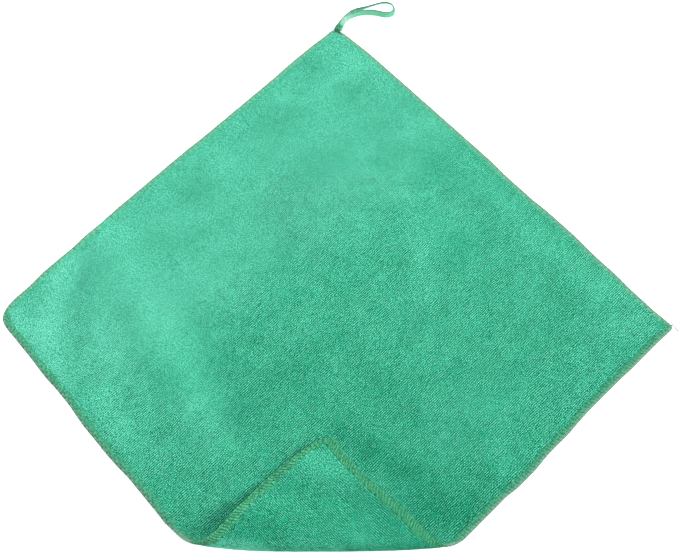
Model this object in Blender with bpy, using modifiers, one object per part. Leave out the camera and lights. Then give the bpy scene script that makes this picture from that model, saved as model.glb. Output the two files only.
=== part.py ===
"""A square microfibre cleaning cloth as it lies on a surface, with its near corner folded over.

The cloth is one knitted sheet whose hem is overlocked. It lies turned by 45 degrees. Its near corner
goes up and over onto the sheet, round a roll that is open at its left end and pressed at its right.
A narrow tape is sewn to the far corner by both of its ends, as a hanging loop.

Metres. +X is right, +Y away from the near side and +Z up. The origin lies on the surface, under the
middle of the whole thing.
"""

import math
from collections import namedtuple

import bmesh
import bpy
from mathutils import Vector

MM = 0.001

# The cloth as it is cut and hemmed. Its ribs run `along` it, and they lie side by side `across` it.
SIDE = 300 * MM
THICKNESS = 2 * MM
CELLS = 36
ROUNDING_CUTS = 5
SIDE_BULGE = 0.9 * MM

# Where each corner of the unfolded cloth lies, in mm from its middle: knitted cloth pulls a little off
# square. The last two columns say how far the corner's rounding reaches down the sides that run
# `along` and `across`.
Corner = namedtuple("Corner", "along across x y round_along round_across")
CORNERS = (
    Corner(-1, +1, -206.6, 3.4, 17, 13),
    Corner(+1, +1, 5.6, 209.4, 5, 18),
    Corner(+1, -1, 214.0, -5.4, 2, 2),
    Corner(-1, -1, -9.8, -211.4, 5, 26),
)

# Where handling has drawn the edge out or in, in mm from the cloth's middle: the two ends of each
# stretch, how far it has moved to the right and away, and how far around it the cloth follows.
Pull = namedtuple("Pull", "x0 y0 x1 y1 right away reach")
EDGE_PULLS = (
    Pull(-197, 13, -190, 20, 0.75, -0.77, 16),
    Pull(-162, 49, -153, 58, 0.75, -0.77, 15),
    Pull(-135, 76, -100, 110, -0.36, 0.38, 26),
    Pull(-26, 180, -14, 191, -0.40, 0.42, 16),
    Pull(31, 185, 104, 111, 0.57, 0.56, 22),
    Pull(146, 68, 158, 56, 0.62, 0.60, 20),
    Pull(192, 17, 202, 7, -0.48, -0.47, 15),
    Pull(188, -27, 200, -16, -0.34, 0.37, 16),
    Pull(158, -56, 172, -42, -0.70, 0.76, 22),
    Pull(114, -98, 120, -92, 0.75, -0.81, 15),
    Pull(-144, -68, -130, -82, -0.88, -0.81, 22),
)

# The fold of the near corner. The front of the roll runs from left to right in a shallow bow, and
# the roll's outer radius shrinks from one end to the other.
FOLD_FRONT_Y = -136.8 * MM
FOLD_BOW_LEFT = 5.6 * MM
FOLD_BOW_RIGHT = 2.2 * MM
FOLD_MIDDLE_X = -8 * MM
FOLD_HALF_LENGTH = 76 * MM
ROLL_RADIUS_LEFT = 8 * MM
ROLL_RADIUS_RIGHT = 3.3 * MM
ROLL_ROWS = 18
LAYER_GAP = 0.6 * MM
# Both ends of the roll are drawn inwards as it turns. The flap comes down to the sheet over this
# many times its drop. It lies a little gathered along its length, spreads over the first third of it,
# and its tip sweeps to the right.
ROLL_SHIFT_LEFT = 3.6 * MM
ROLL_SHIFT_RIGHT = -2.4 * MM
DROP_RATIO = 4.2
FLAP_TAKE_UP = 0.985
FLAP_LENGTH = 66 * MM
FLAP_SPREAD = 0.07
SPREAD_OVER = 1 / 3
TIP_SWEEP = 13.5 * MM

# Soft ridges that the sheet keeps from being folded and stored: the two ends of each crest, how high
# it stands and how far its flanks reach, in mm from the cloth's middle.
Ridge = namedtuple("Ridge", "x0 y0 x1 y1 height reach")
SHEET_RIDGES = (
    Ridge(-153, 52, -168, -30, 2.2, 16),
    Ridge(-142, 50, -64, -80, 1.8, 18),
    Ridge(-90, -112, -60, -86, 1.2, 10),
    Ridge(-137, -54, -118, -78, 1.2, 12),
    Ridge(-74, 106, -56, 68, 1.2, 15),
    Ridge(-14, 170, 6, 138, 1.4, 16),
    Ridge(34, 152, 74, 112, 1.2, 15),
    Ridge(96, 84, 172, 6, 1.0, 20),
    Ridge(58, 58, 60, 10, 0.9, 13),
    Ridge(4, 96, -24, 60, 0.9, 14),
)
FLAP_RIDGES = (
    Ridge(-20, -86, 8, -94, 0.9, 13),
    Ridge(-44, -120, 6, -118, 0.8, 14),
)

# The hanging loop: a woven tape on edge, leaning inwards. Each row is a place of its middle line in
# mm from the cloth's middle, and how many degrees it leans to the left of the way it runs.
TAPE_WIDTH = 4.2 * MM
TAPE_THICKNESS = 1.0 * MM
TAPE_STEPS = 4
TapePoint = namedtuple("TapePoint", "x y z lean")
TAPE_ROUTE = (
    TapePoint(7.4, 206.2, 3.1, 50),
    TapePoint(9.5, 211.4, 2.9, 40),
    TapePoint(11.9, 214.8, 2.7, 24),
    TapePoint(15.2, 217.3, 2.6, 16),
    TapePoint(19.2, 219.2, 2.5, 18),
    TapePoint(24.0, 220.4, 2.4, 23),
    TapePoint(29.0, 220.6, 2.4, 26),
    TapePoint(34.2, 219.9, 2.4, 28),
    TapePoint(38.8, 218.8, 2.4, 28),
    TapePoint(42.5, 218.8, 2.4, 26),
    TapePoint(45.2, 220.6, 2.4, 22),
    TapePoint(45.8, 223.6, 2.4, 20),
    TapePoint(44.7, 226.6, 2.4, 22),
    TapePoint(41.8, 228.2, 2.4, 24),
    TapePoint(37.9, 228.4, 2.4, 21),
    TapePoint(32.5, 226.9, 2.4, 20),
    TapePoint(26.5, 224.8, 2.4, 16),
    TapePoint(20.9, 223.2, 2.3, 8),
    TapePoint(16.8, 221.4, 2.3, 0),
    TapePoint(13.4, 218.6, 2.3, -8),
    TapePoint(10.7, 215.4, 2.2, -24),
    TapePoint(8.5, 212.0, 2.1, -40),
    TapePoint(6.3, 207.0, 2.0, -50),
)

CLOTH_GREEN = (0.06, 0.46, 0.29)
TAPE_GREEN = (0.08, 0.44, 0.24)


def clear_scene():
    for old in list(bpy.data.objects):
        bpy.data.objects.remove(old)


def fabric(name, colour):
    """A plain matt textile finish."""
    material = bpy.data.materials.new(name)
    material.use_nodes = True
    shader = material.node_tree.nodes["Principled BSDF"]
    shader.inputs["Base Color"].default_value = (*colour, 1)
    shader.inputs["Roughness"].default_value = 0.9
    shader.inputs["Metallic"].default_value = 0.0
    material.diffuse_color = (*colour, 1)
    return material


def smoothstep(share):
    share = min(max(share, 0.0), 1.0)
    return share * share * (3 - 2 * share)


def cut_square():
    """The sheet as cut, flat and square, in cells that follow its ribs."""
    bm = bmesh.new()
    bmesh.ops.create_grid(bm, x_segments=CELLS, y_segments=CELLS, size=SIDE / 2)
    return bm


def round_corner(bm, corner):
    """Trims one corner along the tangents of a curve that touches both of its sides."""
    tip = Vector((corner.along, corner.across, 0)) * SIDE / 2
    on_along = tip - Vector((corner.along * corner.round_along * MM, 0, 0))
    on_across = tip - Vector((0, corner.across * corner.round_across * MM, 0))
    for cut in range(ROUNDING_CUTS):
        share = (cut + 0.5) / ROUNDING_CUTS
        start = on_along.lerp(tip, share)
        end = tip.lerp(on_across, share)
        outward = (end - start).cross(Vector((0, 0, 1)))
        if outward.dot(tip) < 0:
            outward.negate()
        faces = bm.verts[:] + bm.edges[:] + bm.faces[:]
        bmesh.ops.bisect_plane(bm, geom=faces, plane_co=start, plane_no=outward, clear_outer=True)


def nearness(stretch, x, y):
    """1 on the line of a ridge or a pull, fading softly to 0 at its reach."""
    start = Vector((stretch.x0, stretch.y0)) * MM
    line = Vector((stretch.x1, stretch.y1)) * MM - start
    share = (Vector((x, y)) - start).dot(line) / line.length_squared
    nearest = start + line * min(max(share, 0.0), 1.0)
    away = (Vector((x, y)) - nearest).length / (stretch.reach * MM)
    return max(0.0, 1 - away * away) ** 2


def spread(along, across):
    """Where a point of the cut square lies in plan, before the near corner is folded."""
    u, v = 2 * along / SIDE, 2 * across / SIDE
    bulge_u = SIDE_BULGE / SIDE * (1 - v * v) * (1 + u)
    bulge_v = SIDE_BULGE / SIDE * (1 - u * u) * (1 + v)
    place = Vector((0, 0, 0))
    for corner in CORNERS:
        share = (1 + corner.along * (u + bulge_u)) * (1 + corner.across * (v + bulge_v)) / 4
        place += share * Vector((corner.x, corner.y, 0)) * MM
    moved = Vector((0, 0, 0))
    for pull in EDGE_PULLS:
        moved += Vector((pull.right, pull.away, 0)) * MM * nearness(pull, place.x, place.y)
    return place + moved


def relief(ridges, x, y):
    """How high the ridges lift the sheet at a point."""
    return sum(ridge.height * MM * nearness(ridge, x, y) for ridge in ridges)


def along_fold(left, right, x):
    """A value that runs evenly from the fold's open left end to its pressed right end."""
    share = (x - FOLD_MIDDLE_X + FOLD_HALF_LENGTH) / (2 * FOLD_HALF_LENGTH)
    return left + (right - left) * min(max(share, 0.0), 1.0)


def fold(x, y):
    """Lays the back of the cloth: flat with its ridges, round the roll, or over the sheet as the flap."""
    radius = along_fold(ROLL_RADIUS_LEFT, ROLL_RADIUS_RIGHT, x)
    bow = FOLD_BOW_LEFT if x < FOLD_MIDDLE_X else FOLD_BOW_RIGHT
    front_y = FOLD_FRONT_Y + bow * abs((x - FOLD_MIDDLE_X) / FOLD_HALF_LENGTH) ** 3
    crease_y = front_y + radius
    past = crease_y - y
    if past <= 0:
        return Vector((x, y, relief(SHEET_RIDGES, x, y)))
    turned = min(past / radius, math.pi)
    x += along_fold(ROLL_SHIFT_LEFT, ROLL_SHIFT_RIGHT, x) * smoothstep(turned / math.pi)
    if turned < math.pi:
        return Vector((x, crease_y - radius * math.sin(turned), radius * (1 - math.cos(turned))))
    length = past - math.pi * radius
    drop = 2 * radius - (2 * THICKNESS + LAYER_GAP)
    height = 2 * radius - drop * smoothstep(length / (DROP_RATIO * drop))
    reach = length / FLAP_LENGTH
    x += FLAP_SPREAD * (x - FOLD_MIDDLE_X) * smoothstep(reach / SPREAD_OVER) + TIP_SWEEP * reach**4
    y = crease_y + FLAP_TAKE_UP * length
    return Vector((x, y, height + relief(FLAP_RIDGES, x, y)))


def add_roll_rows(bm):
    """Extra rows of points along the fold, close enough to turn round it."""
    first = FOLD_FRONT_Y + ROLL_RADIUS_LEFT + FOLD_BOW_LEFT
    last = FOLD_FRONT_Y + ROLL_RADIUS_LEFT * (1 - math.pi)
    for row in range(ROLL_ROWS + 1):
        y = first + (last - first) * row / ROLL_ROWS
        faces = bm.verts[:] + bm.edges[:] + bm.faces[:]
        bmesh.ops.bisect_plane(bm, geom=faces, plane_co=(0, y, 0), plane_no=(0, 1, 0))


def object_from(bm, name, material, collection):
    mesh = bpy.data.meshes.new(name)
    bm.to_mesh(mesh)
    bm.free()
    mesh.materials.append(material)
    piece = bpy.data.objects.new(name, mesh)
    collection.objects.link(piece)
    return piece


def make_cloth(collection):
    """The one sheet: its back is laid first, and Solidify gives it its thickness on the face side."""
    bm = cut_square()
    for corner in CORNERS:
        round_corner(bm, corner)
    for point in bm.verts:
        point.co = spread(point.co.x, point.co.y)
    add_roll_rows(bm)
    for point in bm.verts:
        point.co = fold(point.co.x, point.co.y)
    bmesh.ops.reverse_faces(bm, faces=bm.faces[:])
    cloth = object_from(bm, "cloth", fabric("microfibre", CLOTH_GREEN), collection)
    cloth.data.shade_smooth()
    shell = cloth.modifiers.new("thickness", "SOLIDIFY")
    shell.thickness = THICKNESS
    shell.offset = -1
    shell.use_even_offset = True
    return cloth


def smooth_route(rows, steps):
    """Points on a Catmull-Rom curve through the rows, each with all of the rows' columns."""
    route = []
    for index in range(len(rows) - 1):
        before = rows[max(index - 1, 0)]
        start, end = rows[index], rows[index + 1]
        after = rows[min(index + 2, len(rows) - 1)]
        for step in range(steps):
            t = step / steps
            weights = (-t + 2 * t**2 - t**3, 2 - 5 * t**2 + 3 * t**3, t + 4 * t**2 - 3 * t**3, t**3 - t**2)
            columns = zip(before, start, end, after)
            route.append([sum(w * v for w, v in zip(weights, values)) / 2 for values in columns])
    route.append(list(rows[-1]))
    return route


def make_hanging_loop(collection):
    """The tape: a flat woven strip swept along its route, turned by its lean at each point."""
    route = smooth_route(TAPE_ROUTE, TAPE_STEPS)
    curve = bpy.data.curves.new("hanging_loop", "CURVE")
    curve.dimensions = "3D"
    curve.twist_mode = "Z_UP"
    curve.use_fill_caps = True
    curve.bevel_depth = TAPE_THICKNESS / 2
    curve.bevel_resolution = 1
    curve.extrude = (TAPE_WIDTH - TAPE_THICKNESS) / 2
    spline = curve.splines.new("POLY")
    spline.points.add(len(route) - 1)
    for point, (x, y, z, lean) in zip(spline.points, route):
        point.co = (x * MM, y * MM, z * MM, 1)
        point.tilt = -math.radians(lean)
    curve.materials.append(fabric("loop_tape", TAPE_GREEN))
    loop = bpy.data.objects.new("hanging_loop", curve)
    collection.objects.link(loop)
    return loop


def stand_on_origin(pieces):
    """Moves the pieces together so that the origin is under the middle of their common box."""
    bpy.context.view_layer.update()
    graph = bpy.context.evaluated_depsgraph_get()
    points = []
    for piece in pieces:
        shape = piece.evaluated_get(graph)
        mesh = shape.to_mesh()
        points += [piece.matrix_world @ point.co for point in mesh.vertices]
        shape.to_mesh_clear()
    low = Vector([min(point[axis] for point in points) for axis in range(3)])
    high = Vector([max(point[axis] for point in points) for axis in range(3)])
    for piece in pieces:
        piece.location -= Vector(((low.x + high.x) / 2, (low.y + high.y) / 2, low.z))


def main():
    clear_scene()
    collection = bpy.data.collections.new("microfibre_cloth")
    bpy.context.scene.collection.children.link(collection)
    stand_on_origin([make_cloth(collection), make_hanging_loop(collection)])


main()
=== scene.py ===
"""A square microfibre cleaning cloth as it lies on a white table, with its near corner folded over.

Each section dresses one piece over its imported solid: the knitted sheet, the overlock round its edge, the
tape of the hanging loop, and the stitches that hold the tape.
"""

import math
from collections import namedtuple

import bmesh
import bpy
import numpy as np
from mathutils import Matrix, Vector


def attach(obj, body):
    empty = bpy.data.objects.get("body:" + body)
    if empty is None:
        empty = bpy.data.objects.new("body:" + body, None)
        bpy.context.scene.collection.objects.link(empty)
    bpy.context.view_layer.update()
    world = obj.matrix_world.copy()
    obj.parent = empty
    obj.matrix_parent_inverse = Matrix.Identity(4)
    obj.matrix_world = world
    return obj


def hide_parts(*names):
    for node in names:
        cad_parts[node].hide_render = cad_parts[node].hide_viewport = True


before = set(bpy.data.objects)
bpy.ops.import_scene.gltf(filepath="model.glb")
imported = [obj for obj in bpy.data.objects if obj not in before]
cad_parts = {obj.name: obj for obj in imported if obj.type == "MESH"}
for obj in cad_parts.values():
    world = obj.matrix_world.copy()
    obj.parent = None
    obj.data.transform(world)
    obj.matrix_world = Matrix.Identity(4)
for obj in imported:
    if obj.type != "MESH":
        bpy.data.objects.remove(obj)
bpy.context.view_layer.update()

# The table and its light: a plain white light table seen from 73 degrees above it. One soft light stands
# far off to the right, a broad one behind the far left side, and white surroundings fill the shade.
MM = 0.001
LOOK_AT = Vector((1.7, -19.1, 0)) * MM
CAMERA_DISTANCE = 501.5 * MM
CAMERA_ELEVATION = math.radians(73.2)
CAMERA_LENS = 42
CAMERA_SENSOR = 36
TABLE_SIZE = 3.0
TABLE_DROP = 0.1 * MM
TABLE_WHITE = (0.93, 0.93, 0.93, 1)
TABLE_GLOW = 0.6
SURROUNDINGS = 0.42
WHITE = (1, 1, 1, 1)
SoftLight = namedtuple("SoftLight", "name place size power")
SOFT_LIGHTS = (
    SoftLight("right_light", Vector((1.75, -0.15, 1.25)), 1.3, 57),
    SoftLight("back_light", Vector((-0.50, 0.62, 0.62)), 0.7, 15),
)

camera_data = bpy.data.cameras.new("camera")
camera_data.lens = CAMERA_LENS
camera_data.sensor_width = CAMERA_SENSOR
camera_data.clip_start = 0.01
camera = bpy.data.objects.new("camera", camera_data)
away = Vector((0, -math.cos(CAMERA_ELEVATION), math.sin(CAMERA_ELEVATION)))
camera.location = LOOK_AT + away * CAMERA_DISTANCE
camera.rotation_euler = (math.pi / 2 - CAMERA_ELEVATION, 0, 0)
bpy.context.scene.collection.objects.link(camera)
bpy.context.scene.camera = camera
bpy.context.scene.view_settings.view_transform = "Standard"

for soft_light in SOFT_LIGHTS:
    light_data = bpy.data.lights.new(soft_light.name, "AREA")
    light_data.shape = "DISK"
    light_data.size = soft_light.size
    light_data.energy = soft_light.power
    light = bpy.data.objects.new(soft_light.name, light_data)
    light.location = soft_light.place
    light.rotation_euler = (LOOK_AT - soft_light.place).to_track_quat("-Z", "Y").to_euler()
    bpy.context.scene.collection.objects.link(light)

world = bpy.data.worlds.new("surroundings")
world.use_nodes = True
background = world.node_tree.nodes["Background"]
background.inputs["Color"].default_value = WHITE
background.inputs["Strength"].default_value = SURROUNDINGS
bpy.context.scene.world = world

table_bm = bmesh.new()
bmesh.ops.create_grid(table_bm, x_segments=1, y_segments=1, size=TABLE_SIZE / 2)
bmesh.ops.translate(table_bm, vec=(0, 0, -TABLE_DROP), verts=table_bm.verts[:])
table_mesh = bpy.data.meshes.new("table")
table_bm.to_mesh(table_mesh)
table_bm.free()
table = bpy.data.objects.new("table", table_mesh)
bpy.context.scene.collection.objects.link(table)
table_finish = bpy.data.materials.new("table_white")
table_finish.use_nodes = True
table_shader = table_finish.node_tree.nodes["Principled BSDF"]
table_shader.inputs["Base Color"].default_value = TABLE_WHITE
table_shader.inputs["Roughness"].default_value = 1
table_shader.inputs["Specular IOR Level"].default_value = 0
table_shader.inputs["Emission Color"].default_value = WHITE
table_shader.inputs["Emission Strength"].default_value = TABLE_GLOW
table_mesh.materials.append(table_finish)

# The sheet: a knitted split-fibre terry cut 300 mm square, its loops standing in ribs. It is brushed
# smooth in places and crisp in others, and its hem is pressed thin under the overlock.
SIDE = 300 * MM
THICKNESS = 2 * MM
SIDE_BULGE = 0.9 * MM
# Where the middle of the cut square comes to lie.
MIDDLE = Vector((-5.802, -46.389, 0)) * MM

# The ribs run along the cut square. Each is drawn in and out by the knit as it runs.
FACE_RIBS = 262
BACK_RIBS = 290
POINTS_PER_RIB = 3
ROWS_ALONG = 36
RIB_DEPTH = 0.38 * MM
GROOVE_SHARPNESS = 1.5
RIB_WANDER = 0.25 * MM
WANDER_RUN = 5 * MM
WANDER_DRIFT = 14 * MM
WANDER_BEND = 4

# The hem: how wide its seam is and how deep it is pressed, and where rows of points run beside each
# side, in mm inside it. On the two far sides the nap leans out over the inner part of the seam.
SEAM_WIDTH = 4.4 * MM
NAP_OVER_SEAM = 2.4 * MM
HEM_SINK = 0.30 * MM
HEM_BLEND = 1.6 * MM
HEM_TINT_INSET = 0.7 * MM
HEM_TINT_BLEND = 0.8 * MM
HEM_ROWS = (0.35, 0.9, 3.7, 4.5, 5.3)
EDGE_ROUNDING = 0.25 * MM
EDGE_ROUNDING_REACH = 0.9 * MM
SIDE_BAND = 8 * MM
SIDE_BAND_FADE = 3 * MM
ROUNDING_CUTS = 5
CORNER_POINTS = 12
SIDE_POINTS = 40

# Where each corner of the unfolded cloth lies, in mm from its middle, and how far its rounding reaches
# down the sides that run along and across the ribs.
Corner = namedtuple("Corner", "along across x y round_along round_across")
CORNERS = (
    Corner(-1, +1, -206.6, 3.4, 17, 13),
    Corner(+1, +1, 5.6, 209.4, 5, 18),
    Corner(+1, -1, 214.0, -5.4, 2, 2),
    Corner(-1, -1, -9.8, -211.4, 5, 26),
)

# Where handling has drawn the edge out or in, in mm from the cloth's middle: the two ends of each
# stretch, how far it has moved to the right and away, and how far around it the cloth follows.
Pull = namedtuple("Pull", "x0 y0 x1 y1 right away reach")
EDGE_PULLS = (
    Pull(-197, 13, -190, 20, 0.75, -0.77, 16),
    Pull(-162, 49, -153, 58, 0.75, -0.77, 15),
    Pull(-135, 76, -100, 110, -0.36, 0.38, 26),
    Pull(-26, 180, -14, 191, -0.40, 0.42, 16),
    Pull(31, 185, 104, 111, 0.57, 0.56, 22),
    Pull(146, 68, 158, 56, 0.62, 0.60, 20),
    Pull(192, 17, 202, 7, -0.48, -0.47, 15),
    Pull(188, -27, 200, -16, -0.34, 0.37, 16),
    Pull(158, -56, 172, -42, -0.70, 0.76, 22),
    Pull(114, -98, 120, -92, 0.75, -0.81, 15),
    Pull(-144, -68, -130, -82, -0.88, -0.81, 22),
)

# The fold of the near corner: the bowed front of its roll, which is open at the left and pressed at the
# right, and the flap that comes down from it.
FOLD_FRONT_Y = -136.8 * MM
FOLD_BOW_LEFT = 5.6 * MM
FOLD_BOW_RIGHT = 2.2 * MM
FOLD_MIDDLE_X = -8 * MM
FOLD_HALF_LENGTH = 76 * MM
ROLL_RADIUS_LEFT = 8 * MM
ROLL_RADIUS_RIGHT = 3.3 * MM
ROLL_SHIFT_LEFT = 3.6 * MM
ROLL_SHIFT_RIGHT = -2.4 * MM
LAYER_GAP = 0.6 * MM
DROP_RATIO = 4.2
FLAP_TAKE_UP = 0.985
FLAP_LENGTH = 66 * MM
FLAP_SPREAD = 0.07
SPREAD_OVER = 1 / 3
TIP_SWEEP = 13.5 * MM
# Rows of points across the near corner, where it rolls.
ROLL_ROWS = 24
ROLL_ROWS_FIRST = -84 * MM
ROLL_ROWS_LAST = -122 * MM

# Soft creases from folding and storing, in mm from the cloth's middle: the two ends of each crest, how
# far its flanks reach and how high it stands.
Crease = namedtuple("Crease", "x0 y0 x1 y1 reach height")
SHEET_CREASES = (
    Crease(-153, 52, -168, -30, 16, 2.2),
    Crease(-142, 50, -64, -80, 18, 1.8),
    Crease(-90, -112, -60, -86, 10, 1.2),
    Crease(-137, -54, -118, -78, 12, 1.2),
    Crease(-74, 106, -56, 68, 15, 1.2),
    Crease(-14, 170, 6, 138, 16, 1.4),
    Crease(34, 152, 74, 112, 15, 1.2),
    Crease(96, 84, 172, 6, 20, 1.0),
    Crease(58, 58, 60, 10, 13, 0.9),
    Crease(4, 96, -24, 60, 14, 0.9),
)
FLAP_CREASES = (
    Crease(-20, -86, 8, -94, 13, 0.9),
    Crease(-44, -120, 6, -118, 14, 0.8),
)

# How the nap lies, in strokes that fade from their line to their reach, in mm from the cloth's middle and
# from left to right: how much lighter or darker it looks there, and how much more its ribs show. Besides
# the nap's own tone, the strokes paint light and shade on the flanks of creases and on the roll's front,
# and shade beside the flap.
NapAndLight = namedtuple("NapAndLight", "x0 y0 x1 y1 reach tone crisp")
SHEET_NAP_AND_LIGHT = (
    NapAndLight(-198, 2, -194, -8, 12, 0.6, 0.0),
    NapAndLight(-176, -8, -160, -38, 14, 0.6, -0.5),
    NapAndLight(-164, 46, -174, -14, 16, 0.8, -0.3),
    NapAndLight(-151, 44, -158, -20, 12, -0.1, 0.6),
    NapAndLight(-147, 34, -136, -4, 16, 0.4, 0.0),
    NapAndLight(-146, 30, -144, 20, 16, -0.3, 0.3),
    NapAndLight(-138, -52, -104, -86, 22, 0.45, 0.0),
    NapAndLight(-137, -53, -119, -75, 14, 0.45, -0.2),
    NapAndLight(-134, -20, -122, -40, 28, 0.5, 0.5),
    NapAndLight(-134, 46, -96, -18, 24, 0.2, -0.2),
    NapAndLight(-118, 22, -104, 0, 22, 0.35, 0.35),
    NapAndLight(-104, -54, -88, -56, 18, 0.45, 0.0),
    NapAndLight(-100, -10, -66, -74, 24, 0.25, -0.1),
    NapAndLight(-94, 94, -88, 88, 20, -0.4, 0.2),
    NapAndLight(-92, -24, -74, -48, 22, 0.2, -0.4),
    NapAndLight(-84, 8, -50, 20, 26, 0.35, 0.4),
    NapAndLight(-76, -66, -66, -74, 20, 0.4, 0.0),
    NapAndLight(-60, -26, -50, -38, 20, 0.0, 0.45),
    NapAndLight(-54, -14, -48, -70, 14, -0.15, 0.3),
    NapAndLight(-52, -59, 2, -12, 16, -0.35, 0.2),
    NapAndLight(-44, 140, -38, 134, 20, -0.5, 0.2),
    NapAndLight(-40, 118, 8, 120, 22, -0.15, 0.2),
    NapAndLight(-34, 76, -24, 68, 26, -0.1, 0.45),
    NapAndLight(-30, 62, -4, 40, 24, 0.0, 0.45),
    NapAndLight(-28, 90, 10, 84, 22, 0.1, 0.75),
    NapAndLight(-24, -66, -16, -72, 18, 0.0, 0.3),
    NapAndLight(-24, 88, -18, 82, 22, -0.35, 0.2),
    NapAndLight(-14, 181, -8, 176, 18, -0.5, 0.2),
    NapAndLight(-8, -48, 24, -72, 20, -0.25, 0.0),
    NapAndLight(-6, 52, 40, 56, 22, 0.3, 0.1),
    NapAndLight(-6, 154, 0, 148, 22, -0.15, -0.1),
    NapAndLight(-2, -6, 18, -16, 28, 0.35, 0.0),
    NapAndLight(8, -70, 24, -80, 14, -0.6, 0.2),
    NapAndLight(8, -8, 54, -64, 16, -0.45, 0.2),
    NapAndLight(12, 84, 42, 84, 24, 0.35, 0.6),
    NapAndLight(20, 157, 24, 152, 18, -0.5, 0.3),
    NapAndLight(24, 152, 52, 124, 18, 0.3, 0.0),
    NapAndLight(30, -82, 44, -92, 16, -0.7, 0.2),
    NapAndLight(34, -62, 62, -70, 24, 0.1, 0.4),
    NapAndLight(38, 137, 44, 130, 18, -0.4, 0.3),
    NapAndLight(40, 48, 42, 40, 20, 0.0, 0.3),
    NapAndLight(50, 88, 84, 70, 24, 0.4, 0.0),
    NapAndLight(58, -104, 98, -112, 30, -0.7, 0.5),
    NapAndLight(58, 57, 60, 12, 12, 0.5, -0.2),
    NapAndLight(60, -116, 80, -120, 22, -0.55, 0.0),
    NapAndLight(68, 62, 86, 48, 22, -0.1, -0.7),
    NapAndLight(98, -56, 122, -86, 26, 0.0, -0.25),
    NapAndLight(99, 90, 171, 15, 14, 0.4, -0.3),
    NapAndLight(118, 38, 124, 30, 18, 0.4, 0.0),
    NapAndLight(176, -6, 200, -10, 18, 0.55, 0.0),
    NapAndLight(182, 24, 198, 8, 16, 0.4, 0.0),
)
# On the back, shown on the flap and the roll: painted light and shade on the roll's front, a painted
# highlight along a crease near the flap's tip, and the back's own tone.
FLAP_NAP_AND_LIGHT = (
    NapAndLight(-74, -133, -40, -138, 10, 1.9, 0.0),
    NapAndLight(-64, -120, -34, -124, 18, -0.6, -0.1),
    NapAndLight(-60, -136, 4, -138, 10, 0.9, 0.0),
    NapAndLight(-22, -84, 4, -94, 15, 0.5, -0.8),
    NapAndLight(20, -112, 40, -120, 18, -0.3, 0.2),
    NapAndLight(54, -134, 66, -133, 12, -0.8, 0.0),
)
# The face's upper left is brushed smooth. Its ribs come up over a band that climbs to the right.
BRUSHED_SLOPE = 0.75
BRUSHED_TO = 94 * MM
BRUSHED_FADE = 86 * MM
BRUSHED_SMOOTHING = 0.80
# The back, which shows on the flap, is darker and crisper than the face.
BACK_TONE = -0.5
BACK_CRISPNESS = 1.15
CRISPNESS_LIMITS = (0.08, 1.2)
# The nap looks darker where it leans out over the far hem.
LEANING_TONE = -0.4
LEANING_REACH = 7 * MM


def ease(share):
    """Runs from 0 to 1 with a soft start and end."""
    share = np.clip(share, 0, 1)
    return share * share * (3 - 2 * share)


def strokes_at(strokes, column, x, y):
    """Adds up one column of soft strokes at points in plan."""
    total = np.zeros_like(x)
    for stroke in strokes:
        run_x, run_y = (stroke.x1 - stroke.x0) * MM, (stroke.y1 - stroke.y0) * MM
        from_x, from_y = x - stroke.x0 * MM, y - stroke.y0 * MM
        share = np.clip((from_x * run_x + from_y * run_y) / (run_x**2 + run_y**2), 0, 1)
        away = np.hypot(from_x - share * run_x, from_y - share * run_y) / (stroke.reach * MM)
        total += getattr(stroke, column) * np.clip(1 - away**2, 0, 1) ** 2
    return total


def spread(along, across):
    """Where points of the cut square lie in plan, before the near corner is folded."""
    u, v = 2 * along / SIDE, 2 * across / SIDE
    bulged_u = u + SIDE_BULGE / SIDE * (1 - v**2) * (1 + u)
    bulged_v = v + SIDE_BULGE / SIDE * (1 - u**2) * (1 + v)
    shares = [(1 + corner.along * bulged_u) * (1 + corner.across * bulged_v) / 4 for corner in CORNERS]
    x = sum(share * corner.x * MM for share, corner in zip(shares, CORNERS))
    y = sum(share * corner.y * MM for share, corner in zip(shares, CORNERS))
    moved_x, moved_y = (strokes_at(EDGE_PULLS, column, x, y) * MM for column in ("right", "away"))
    return x + moved_x, y + moved_y


def fold(x, y):
    """Lays the back of the cloth: flat with its creases, round the roll, or over the sheet as the flap."""
    share = np.clip((x - FOLD_MIDDLE_X) / (2 * FOLD_HALF_LENGTH) + 0.5, 0, 1)
    radius = ROLL_RADIUS_LEFT + (ROLL_RADIUS_RIGHT - ROLL_RADIUS_LEFT) * share
    shift = ROLL_SHIFT_LEFT + (ROLL_SHIFT_RIGHT - ROLL_SHIFT_LEFT) * share
    bow = np.where(x < FOLD_MIDDLE_X, FOLD_BOW_LEFT, FOLD_BOW_RIGHT)
    crease_y = FOLD_FRONT_Y + bow * np.abs((x - FOLD_MIDDLE_X) / FOLD_HALF_LENGTH) ** 3 + radius
    past = np.maximum(crease_y - y, 0)
    turned = np.minimum(past / radius, math.pi)
    length = np.maximum(past - math.pi * radius, 0)
    drop = 2 * radius - (2 * THICKNESS + LAYER_GAP)
    reach = length / FLAP_LENGTH
    rolled_x = x + shift * ease(turned / math.pi)
    flap_x = rolled_x + FLAP_SPREAD * (rolled_x - FOLD_MIDDLE_X) * ease(reach / SPREAD_OVER)
    flap_x = flap_x + TIP_SWEEP * reach**4
    flap_y = crease_y + FLAP_TAKE_UP * length
    flap_z = 2 * radius - drop * ease(length / (DROP_RATIO * drop))
    flap_z = flap_z + strokes_at(FLAP_CREASES, "height", flap_x, flap_y) * MM
    rolled_y = crease_y - radius * np.sin(turned)
    rolled_z = radius * (1 - np.cos(turned))
    sheet_z = strokes_at(SHEET_CREASES, "height", x, y) * MM
    axes = zip((x, y, sheet_z), (flap_x, flap_y, flap_z), (rolled_x, rolled_y, rolled_z))
    where = (past <= 0, length > 0)
    return np.stack([np.select(where, (sheet, flap), roll) for sheet, flap, roll in axes], axis=1)


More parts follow.
